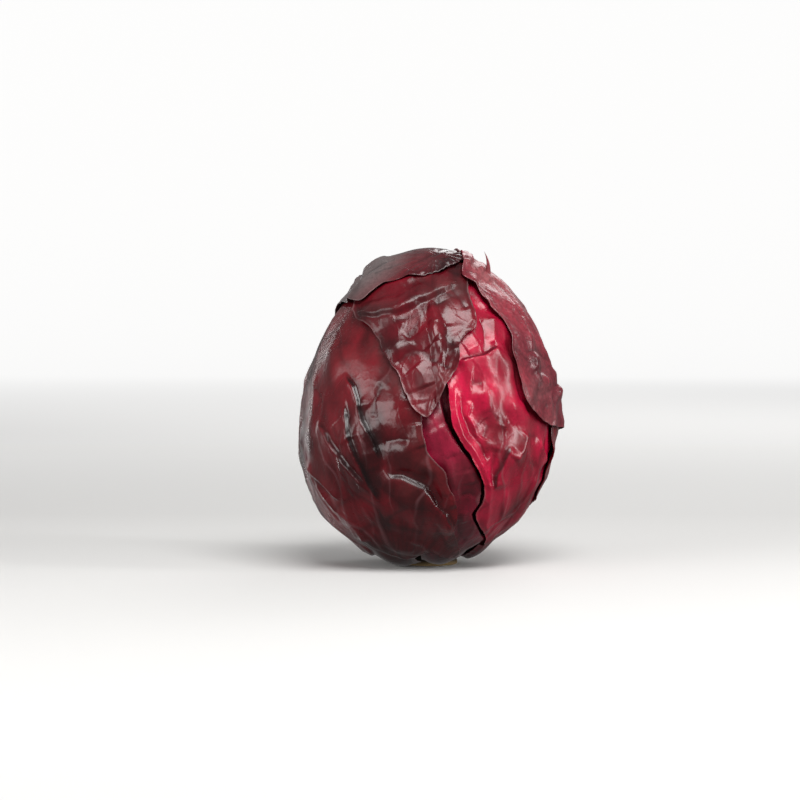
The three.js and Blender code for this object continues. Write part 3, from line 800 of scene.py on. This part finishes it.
# The left leaf
# The largest leaf in front: burgundy, glossy, and pressed into long creases where it was bent round the head.
# Its veins come together low at the left, and its wavy right edge lies on the inner front leaf.
burgundy_leaf = leaf_skin("burgundy_wrapper_leaf", "#3a070c", "#7c1420", "#4e302c", 0.16, 2.9)
leaf = drawn(
    "leaf_left",
    centre=around(-52, 78),
    stalk_at=-40,
    level=3.8,
    flutes=0.3,
    outline=[
        under(0, 35, 0.3), (13, 11.5, 0.5), (12.2, 20.6, 1), (11, 27, 1.2), (12.5, 33.6, 1.2),
        (11.4, 40.7, 1), (8, 49, 1), (5.9, 56, 1.2), (2.1, 59.6, 1.2), (-2.6, 66.7, 1), (-3.8, 73.8, 1),
        (-4.5, 84), (-1, 100), (0, 122), (-8, 142), (-24, 152), around(-88, 150), around(-120, 138),
        around(-140, 112, 1), around(-142, 74, 1.4), around(-128, 38, 1), around(-104, 18, 0.6),
    ],
    folds=[
        # the three long creases, from the top left down to the middle of the front
        step(
            2.6, 8, (-24, 57), (-29.2, 69.4), (-34.4, 79), (-36.3, 86.7), (-39.2, 95.1), (-44, 103), dark=1.0,
        ),
        fold(-1.5, 4, (-27, 63), (-31, 75), (-33, 88)),
        step(
            2.5, 7, (-22, 36), (-28, 43.1), (-31.2, 47.6), (-34.4, 56.6), (-38.2, 65.6), (-40.8, 73.9),
            (-42.1, 80.3), (-42.7, 90), dark=1.0,
        ),
        step(
            2.3, 6, (-29, 43.5), (-33.1, 48.2), (-38.2, 53.4), (-43.4, 59.1), (-47.9, 64.3), (-53, 72),
            (-58, 79),
        ),
        # the fold that steps across the front, and the hollow above it
        step(
            2.4, 10, (12, 24), (9.3, 27.5), (6.7, 34), (1.6, 38.2), (-0.6, 42.5), (-3.6, 46.6), (-8.7, 48.6),
            (-14.5, 50.6), (-19.6, 51.2), (-25.5, 56.5),
        ),
        fold(-1.7, 3.2, (-20, 54.5), (-10, 53.4), (-2, 50.4), (4, 43), (8, 37)),
        fold(1.4, 3.4, (-6, 60), (0, 55), (4, 50), (8, 43), (10, 36)),
        # the bulges between them
        fold(2.4, 14, (-19, 88)),
        fold(-1.0, 3.4, (-24, 98), (-27.5, 89), (-29, 80)),
        fold(2.6, 7, (-11, 64)),
        fold(2.4, 9, (-13, 40)),
        fold(1.8, 14, (-50, 106)),
        fold(1.3, 6, (-36, 75), (-31, 62), (-27, 54)),
        fold(1.8, 6, (-48, 78), (-42, 66)),
        fold(1.7, 4, (-7.5, 79), (-6.5, 72), (-4, 66)),
        fold(-1.2, 2, (-24, 69), (-16, 70.5), (-10, 70)),
        # the crease and the long ridge at the left rim
        step(1.7, 4, (-63.6, 54.6), (-59.4, 50.1), (-53.6, 45.6), (-48.5, 41.1), (-45, 37)),
        fold(0.9, 3.0, (-67, 78), (-66.5, 68), (-64, 57), (-60, 46), (-54, 35), (-46, 25), (-38, 18)),
        fold(1.2, 2, (-58, 46), (-52, 36), (-47, 31)),
        # the veins that run together to the leaf base
        fold(
            0.9, 1.0, (-49.2, 32.2), (-43.4, 29.6), (-38.2, 25.7), (-33.1, 22.5), (-28.6, 19.3),
            (-25.4, 16.1), (-21.5, 11.5), pale=0.9,
        ),
        fold(0.8, 0.9, (-35, 37.3), (-30.5, 29.6), (-29.2, 24.4), (-28, 20), pale=0.6),
        fold(0.8, 1.0, (-40, 17.5), (-34.4, 18.5), (-29.2, 18.5), pale=0.8),
        fold(1.0, 1.1, (-21.5, 11.5), (-16.4, 10), (-8, 10.5), (0, 10), pale=0.8),
        fold(1.0, 1.1, (-11, 18), (-4.8, 16.6), (0.3, 12.6), pale=0.8),
        fold(-1.4, 4, (-36, 22), (-28, 27)),
        fold(-1.5, 4.5, (-24, 27), (-12, 24), (-2, 22)),
        fold(1.5, 4, (-18, 15), (-8, 14)),
        fold(-1.0, 2.2, (2, 30), (6, 22), (9, 15)),
    ],
    blister=0.1,
    pucker=0.4,
)
piece = leaf_piece(leaf, 124, burgundy_leaf)
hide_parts("left_leaf")

# The right front leaf
# The brightest leaf, crimson to magenta, as it lay under others until shortly before. Its left edge is
# rolled along the dark split, and it is gathered into puffs and hollows above the middle.
crimson_leaf = leaf_skin("crimson_wrapper_leaf", "#7c0c20", "#cc1240", "#7e5054", 0.1, 4.3)
leaf = drawn(
    "leaf_right_front",
    centre=around(60, 84),
    stalk_at=80,
    level=3.8,
    flutes=0.7,
    outline=[
        (30.8, 13.6, 0.5), (27.7, 18.6, 1), (24.5, 25.5, 1.2), (22, 31.8, 1.4), (25, 37.4, 1.2),
        (26, 43.5, 1.3), (24.9, 48.5, 1.4), (22.9, 53.9, 1.6), (19.6, 61, 1.9), (13.4, 70.1, 2.1),
        (9.8, 77.6, 2.2), (8.8, 88.4, 2.2), (8.3, 95, 2), (6, 104), (4, 124), (6, 144), (16, 156),
        around(92, 153), around(122, 132), around(133, 92), around(122, 52), around(106, 24),
    ],
    folds=[
        fold(-3.4, 7, (36, 28), (31, 15), under(50, 32), under(45, 22), under(52, 12), dark=0),
        # the rolled margin beside the split, with two long ridges next to it
        fold(
            1.5, 2.6, (30, 18), (27.5, 26), (28.5, 36), (29, 46), (26.5, 54), (22, 63), (15.5, 72),
            (12.5, 82), (11.5, 92),
        ),
        fold(1.5, 1.8, (20, 90), (18, 82), (21, 76), (23, 70)),
        fold(-1.6, 2.4, (15.5, 94), (15.5, 84), (19, 74), (24, 68), (28, 58)),
        # the crease in the middle, and the bulge at its right
        step(1.9, 7, (41.1, 66.5), (38.5, 62), (36.9, 58.6), (33.2, 51.3), (31.5, 44)),
        fold(2.2, 3.6, (49, 72), (45, 64), (41, 58)),
        fold(-1.2, 3.5, (33, 66), (31, 56), (30, 46)),
        # puffs and hollows above the middle
        fold(2.4, 4.6, (40.5, 85.3)),
        fold(-1.8, 3.2, (26, 80), (28.5, 76), (26, 70)),
        fold(1.9, 5.5, (25, 68)),
        fold(1.5, 3, (32, 78), (38, 76)),
        fold(1.7, 6, (29, 91)),
        fold(-1.6, 4, (20, 99), (26, 98)),
        step(2.2, 5, (35, 115.5), (33.9, 114.4), (26.2, 110.7), (16.8, 108.7), (13, 108)),
        fold(1.7, 4.2, (17, 114), (25, 117)),
        fold(-1.5, 2.0, (24.6, 131), (27, 124), (27, 112)),
        fold(1.7, 3, (31.5, 131), (32, 122), (31.5, 116)),
        fold(1.5, 3.5, (21, 148), (26, 138), (30, 134)),
        fold(1.7, 7, (38, 108)),
        fold(-1.6, 2.4, (39, 122), (41, 112), (43, 100), (46, 90), (52, 80)),
        # broad veins that fan out of the stalk
        fold(0.9, 1.7, (34, 20), (36.5, 32), (39, 44)),
        fold(1.0, 1.7, (37, 20), (43, 31), (50, 42), (55, 53)),
        fold(1.1, 1.9, (40, 21), (49, 31), (56, 41), (60, 52)),
        fold(-0.9, 2, (40, 26), (47, 37), (52, 48)),
        fold(1.3, 2.4, (54, 70), (57, 62), (59, 54)),
    ],
    blister=0.35,
    pucker=0.8,
)
piece = leaf_piece(leaf, 110, crimson_leaf)
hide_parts("right_front_leaf")

# The side leaf
# The strip at the right edge, low down, between the right front leaf and the leaf behind. It grows from the
# right side of the stem, and is wine red under a thin bloom of wax that breaks its gloss.
wine_red_leaf = leaf_skin("wine_red_wrapper_leaf", "#5a0e18", "#8a1826", "#6e504f", 0.2, 5.9)
leaf = drawn(
    "leaf_side",
    centre=around(116, 62),
    stalk_at=119,
    level=4.4,
    flutes=0.8,
    outline=[
        around(92, 27, 0.2), around(80, 45, 0.2), around(73, 58, 0.2), around(72, 72), around(84, 88),
        around(114, 98), around(140, 90), around(148, 64), around(144, 32),
    ],
    folds=[fold(1.6, 5, around(104, 24), around(108, 50), around(112, 80))],
)
piece = leaf_piece(leaf, 60, wine_red_leaf)
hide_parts("side_leaf")

# The upper leaf
# The tongue that hangs over the front from the top. It is the most crumpled leaf, gathered in facets under a
# long fold, and its point lies over the top of the split.
crumpled_leaf = leaf_skin("crumpled_red_leaf", "#2c060a", "#700b1b", "#4a2f2c", 0.24, 7.1, gloss=0.31)
leaf = drawn(
    "leaf_upper",
    centre=front(-6, 124),
    stalk_at=None,
    level=5.4,
    flutes=0,
    outline=[
        (18.5, 148, 0), (19.8, 137, 0.3), (22, 124.8, 0.4), (16.4, 120.6, 1), (13.4, 115.4, 1.6),
        (12.8, 106.8, 1.6), (7.3, 96.6, 1.6), (3, 88.6, 1.5), (-2.6, 81, 1.5), (-8.3, 84.6, 1),
        (-11.8, 91, 0.6), (-16.3, 102.4, 0.3), (-21.2, 109, 0), (-25.6, 117.4, 0), (-28.8, 123.2, 0.5),
        (-32.4, 126, 1.2), (-36.2, 127.6, 1.6), (-38, 131.6, 1.6), around(-68, 147), around(-100, 155),
        around(-160, 160), around(120, 162), around(60, 160), (24, 157, 0),
    ],
    folds=[
        # the long lip over the front, and the hollow below it
        step(
            2.6, 9, (-38, 130.5), (-33, 130), (-28.3, 129.6), (-16.6, 131.6), (-8.8, 135.4), (-1.1, 140),
            (6.7, 142.8), (15, 147), dark=0.35,
        ),
        fold(0.8, 3.4, (-26, 131), (-16, 133.4), (-7, 138)),
        fold(-1.4, 3.5, (-22, 126), (-9, 130), (1, 136), (10, 139)),
        # ridges and facets of the crumpled part
        fold(1.4, 3.4, (-26, 127), (-20, 128.6), (-12, 126)),
        fold(-1.5, 3, (-28, 124), (-27, 118), (-24, 112)),
        fold(1.3, 4.2, (2, 142), (7, 136), (11.6, 129.5), (18, 126), (23, 129)),
        fold(1.2, 7, (15, 138)),
        fold(-1.0, 3.5, (9, 146), (14, 139), (18, 132)),
        fold(-1.8, 4, (-5, 139), (-5, 131), (-8, 124), (-14, 119)),
        fold(1.8, 6, (-4, 124), (2, 116)),
        fold(-1.4, 3, (-18, 106), (-12, 111), (-5, 113), (1, 110)),
        fold(2.0, 6, (-18, 113)),
        fold(-1.1, 4.5, (7, 127), (8, 119), (12, 113)),
        fold(-1.3, 2.6, (-4, 112), (3, 106), (10, 104)),
        fold(1.7, 5, (-9, 106), (-4, 101), (-2, 95)),
        fold(1.2, 2.6, (12.5, 118), (12, 110), (7, 101), (2, 91)),
        fold(-1.2, 3, (-30, 138), (-18, 141), (-4, 147)),
        fold(1.4, 3, (-26, 143), (-12, 147), (2, 152)),
    ],
    blister=0.15,
    pucker=0.5,
)
piece = leaf_piece(leaf, 100, crumpled_leaf)
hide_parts("upper_leaf")

# The crown leaf
# The leaf over the top left and down the back. It has the oldest skin: dull grey with wax, finely wrinkled,
# with dark red only where it was rubbed over the top.
old_leaf = leaf_skin(
    "weathered_grey_red_leaf", "#2b0d11", "#64151f", "#676160", 0.2, 8.3, gloss=0.27, grain=0.16,
    aged=(front(-36, 147)[0], 42),
)
leaf = drawn(
    "leaf_crown",
    centre=around(-150, 122),
    stalk_at=-162,
    level=5.5,
    flutes=1.0,
    outline=[
        (18.4, 157.4, -0.6), (15.2, 155, -0.6), (9.2, 153, -0.6), (2.8, 151.4, -0.6), (-3.7, 149, -0.6),
        (-12.3, 148.1, -0.6), (-19.7, 145.4, -0.3), (-26.2, 143, 0.1), (-29.6, 140.2, 0.5),
        (-32.6, 137.2, 0.8), (-37, 135, 0.8), around(-74, 136, 0.4), around(-94, 134.5, 0.2),
        around(-114, 122, 0.2), around(-126, 92, 0.6), around(-132, 58, 0.9), around(-144, 28, 0.9),
        around(168, 34), around(152, 78), around(148, 120), around(140, 150), around(110, 160),
    ],
    folds=[
        fold(-2.4, 15, (-4, 164)),
        fold(-1.8, 10, (-33, 152)),
        # the diagonal ridges of the grey corner
        fold(1.8, 2.4, (-43, 140.5), (-36, 147.5), (-27, 153.5), (-20, 159)),
        fold(1.4, 2.2, (-40, 148), (-32, 154.5), (-26, 158)),
        fold(-1.6, 2.2, (-39, 142), (-32, 148), (-24, 153), (-17, 157)),
        fold(1.8, 2.4, (-36, 141.5), (-29, 147.5), (-20, 152)),
        fold(-1.4, 2.4, (-28, 148), (-18, 153.5)),
        fold(1.2, 9, (-4, 160)),
        fold(-1.0, 3, (-10, 154), (2, 158), (14, 162)),
        fold(1.2, 2.4, (4, 157.5), (14, 160)),
        fold(2.0, 6, around(-130, 60), around(-134, 90), around(-140, 120)),
        fold(1.6, 5, around(-160, 50), around(-165, 90), around(-170, 130)),
    ],
    blister=0.5,
    pucker=0.9,
)
piece = leaf_piece(leaf, 100, old_leaf)
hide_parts("crown_leaf")

# The right leaf
# The last leaf on the head, loose along its front edge and bent back at its free corner on the right. It is
# the palest and most matt of the outer leaves: dusty rose, under a wax that covers nearly half of it.
dusty_leaf = leaf_skin("dusty_rose_leaf", "#5c1c26", "#8c2d39", "#866160", 0.4, 9.7, gloss=0.36, grain=0.3)
leaf = drawn(
    "leaf_right",
    centre=around(128, 98),
    stalk_at=157,
    level=5.4,
    flutes=0.8,
    outline=[
        (15.9, 155, -0.6), (16.4, 149.2, -0.2), (22.4, 143.6, 0.8), (24.7, 139.8, 0.8), (28.6, 135.2, 0.8),
        (37, 126.3, 1), (38.7, 121.7, 1.4), (39.8, 112.7, 1.6), (41.6, 104.7, 1.6), (43.9, 96.7, 1.6),
        (46.1, 89.8, 1.4), (51.7, 81.8, 1.2), (57.4, 76, 1), around(84, 72.5, 1.2), around(102, 69, 0.4),
        around(121, 54, 0.5), around(133, 38, 0.6), around(178, 27, 0.8), around(190, 58, 1.2),
        around(194, 96, 1.2), around(188, 132, 1), around(160, 152, 0.8), around(112, 161, 0.8),
    ],
    folds=[
        fold(1.0, 8, around(70, 150)),
        fold(-2.6, 11, (16, 157)),
        fold(-1.0, 20, around(86, 88)),
        fold(-1.2, 24, around(180, 72)),
        fold(1.4, 2.6, (35, 143), (46, 126), (51, 106), (56, 90)),
        fold(1.5, 3, around(70, 132), around(78, 110), around(84, 84)),
        fold(1.5, 3.2, (24, 153), (31, 147)),
        fold(1.6, 4, (37, 137), (42, 132)),
        fold(-1.3, 2.2, (30, 150), (40, 139), (47, 127)),
        fold(1.5, 3.4, (50, 118)),
        fold(1.5, 3.4, (52, 106)),
        fold(1.5, 3.4, (57, 97)),
        fold(-1.2, 1.8, (46, 112), (52, 112), (58, 114)),
        fold(-1.2, 1.8, (48, 101), (55, 102), (61, 104)),
        fold(-1.2, 1.8, (53, 90), (59, 92), (64, 95)),
        fold(2.0, 7, around(120, 40), around(126, 80), around(132, 120)),
        fold(1.8, 6, around(150, 40), around(152, 80), around(156, 120)),
    ],
    blister=0.6,
    pucker=0.8,
)
piece = leaf_piece(leaf, 100, dusty_leaf)
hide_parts("right_leaf")

# The torn sliver
# A strip of the right leaf's front edge that has torn loose near the top. It is the same dusty skin, thin and
# dry, so it stands up and curls back over the head.
TIP_STEPS = 14
TIP_SIDES = 8
TIP_LENGTH = 12.5
TIP_SUNK = 2.5  # how much of it is down in the leaf
TIP_HALF_WIDTH = 1.6
TIP_HALF_THICKNESS = 0.26
TIP_END = 0.05
root_of_tip = above(front(28, 151)[0][None], [8.8])[0]
points = []
for i in range(TIP_STEPS + 1):
    share = i / TIP_STEPS
    bend = 3.6 * share - 5.2 * share**2
    middle = root_of_tip + [bend, -0.5 * share, -TIP_SUNK + TIP_LENGTH * share]
    half = TIP_HALF_WIDTH * (1 - share) + TIP_END
    for k in range(TIP_SIDES):
        turn = 2 * math.pi * k / TIP_SIDES
        aside = half * math.cos(turn)
        points.append(middle + [aside, TIP_HALF_THICKNESS * math.sin(turn), -0.25 * aside])
faces = []
for i in range(TIP_STEPS):
    near, far = i * TIP_SIDES, (i + 1) * TIP_SIDES
    for k in range(TIP_SIDES):
        onward = (k + 1) % TIP_SIDES
        faces.append((near + k, near + onward, far + onward, far + k))
faces += [tuple(range(TIP_SIDES))[::-1], tuple(TIP_STEPS * TIP_SIDES + k for k in range(TIP_SIDES))]
torn_tip = mesh_piece("torn_leaf_tip", points, faces, dusty_leaf)
facts = {"edge_distance": 2.0, "vein": 0.0, "crease": 0.0, "fan_angle": 0.5, "from_stalk": 150.0}
for fact, value in facts.items():
    layer = torn_tip.data.attributes.new(fact, "FLOAT", "POINT")
    layer.data.foreach_set("value", np.full(len(points), value, np.float32))
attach(torn_tip, "root")

# The studio
# A plain white sheet that lies flat under the head and curves up to a wall all round, so that no corner
# shows. The paper is matt, and lit up behind the head so that the background is as white as the floor.
FLOOR_RADIUS = 2.2
COVE = 1.0
WALL_TOP = 3.2
STUDIO_SIDES = 96

paper, tree, output = material("white_studio_paper")
place = add(tree, "ShaderNodeTexCoord").outputs["Object"]
behind = add(tree, "ShaderNodeSeparateXYZ", {"Vector": place}).outputs["Y"]
glow = remap(tree, behind, 0.3, 2.2, high=0.75)
shader = add(
    tree,
    "ShaderNodeBsdfPrincipled",
    {
        "Base Color": linear("#dedddb"), "Roughness": 0.9, "Emission Color": linear("#ffffff"),
        "Emission Strength": glow,
    },
)
tree.links.new(shader.outputs[0], output.inputs[0])
profile = [(0.02, 0.0), (0.5, 0.0), (FLOOR_RADIUS, 0.0)]
for turn in np.linspace(0.1, math.pi / 2, 14).tolist():
    profile.append((FLOOR_RADIUS + COVE * math.sin(turn), COVE * (1 - math.cos(turn))))
profile.append((FLOOR_RADIUS + COVE, WALL_TOP))
points = [[0, 0, 0]]
for radius, height in profile:
    for i in range(STUDIO_SIDES):
        turn = 2 * math.pi * i / STUDIO_SIDES
        points.append([radius * math.cos(turn) * PER_MM, radius * math.sin(turn) * PER_MM, height * PER_MM])
faces = []
for i in range(STUDIO_SIDES):
    j = (i + 1) % STUDIO_SIDES
    faces.append((0, 1 + i, 1 + j))
    for row in range(len(profile) - 1):
        near, far = 1 + row * STUDIO_SIDES, 1 + (row + 1) * STUDIO_SIDES
        faces.append((near + i, far + i, far + j, near + j))
sweep = mesh_piece("studio_sweep", points, faces, paper)
# The paper is hidden from glossy and diffuse rays, which keeps it out of the leaves' gloss and their
# undersides dark.
sweep.visible_glossy = False
sweep.visible_diffuse = False

# The lights
# One broad softbox high over the front, a broad panel at the left front, a thin tall strip behind the left
# side and a wider one at the right for the long lines of light on the waxy leaves, and a fill for the back.


def softbox(name, place, target, width, height, power, colour="#ffffff"):
    lamp = bpy.data.lights.new(name, "AREA")
    lamp.shape = "RECTANGLE"
    lamp.size, lamp.size_y = width, height
    lamp.energy = power
    lamp.color = linear(colour)[:3]
    made = bpy.data.objects.new(name, lamp)
    made.location = place
    made.rotation_mode = "QUATERNION"
    made.rotation_quaternion = (Vector(target) - Vector(place)).to_track_quat("-Z", "Y")
    bpy.context.scene.collection.objects.link(made)
    return made


HEAD_CENTRE = (0, 0, 0.085)
softbox("top_softbox", (0.25, -0.7, 1.1), HEAD_CENTRE, 0.9, 0.6, 15.5)
softbox("left_front_panel", (-1.05, -0.68, 0.33), HEAD_CENTRE, 1.0, 0.65, 8.5)
softbox("left_back_strip", (-0.7, 0.86, -0.05), HEAD_CENTRE, 0.035, 1.3, 1.2)
softbox("right_strip", (1.0, -0.35, 0.3), HEAD_CENTRE, 0.16, 0.8, 6)
softbox("back_fill", (0.5, 1.3, 0.9), HEAD_CENTRE, 0.8, 0.5, 5)

world = bpy.data.worlds.new("studio_air")
world.use_nodes = True
world.node_tree.nodes["Background"].inputs["Color"].default_value = linear("#ffffff")
world.node_tree.nodes["Background"].inputs["Strength"].default_value = 0.2
bpy.context.scene.world = world
bpy.context.scene.view_settings.view_transform = "Standard"

# The camera
# A long lens, level with the middle of the head. The head stands right of the middle of the picture.
PICTURE_SIZE = 800
PIXEL = 0.53 / PER_MM  # the real size of a picture's pixel at the head
STEM_COLUMN = 430  # where the middle of the cut face is in the picture
STEM_ROW = 564
CAMERA_DISTANCE = 1.7
CAMERA_ELEVATION = math.radians(3)
SENSOR = 36.0
middle = PICTURE_SIZE / 2
aim = Vector(((middle - STEM_COLUMN) * PIXEL, 0, (STEM_ROW - middle) * PIXEL))
back = Vector((0, -math.cos(CAMERA_ELEVATION), math.sin(CAMERA_ELEVATION)))
camera = bpy.data.objects.new("camera", bpy.data.cameras.new("camera"))
camera.data.sensor_width = SENSOR
camera.data.lens = SENSOR * CAMERA_DISTANCE / (PICTURE_SIZE * PIXEL)
camera.location = aim + back * CAMERA_DISTANCE
camera.rotation_mode = "QUATERNION"
camera.rotation_quaternion = (-back).to_track_quat("-Z", "Y")
bpy.context.scene.collection.objects.link(camera)
bpy.context.scene.camera = camera
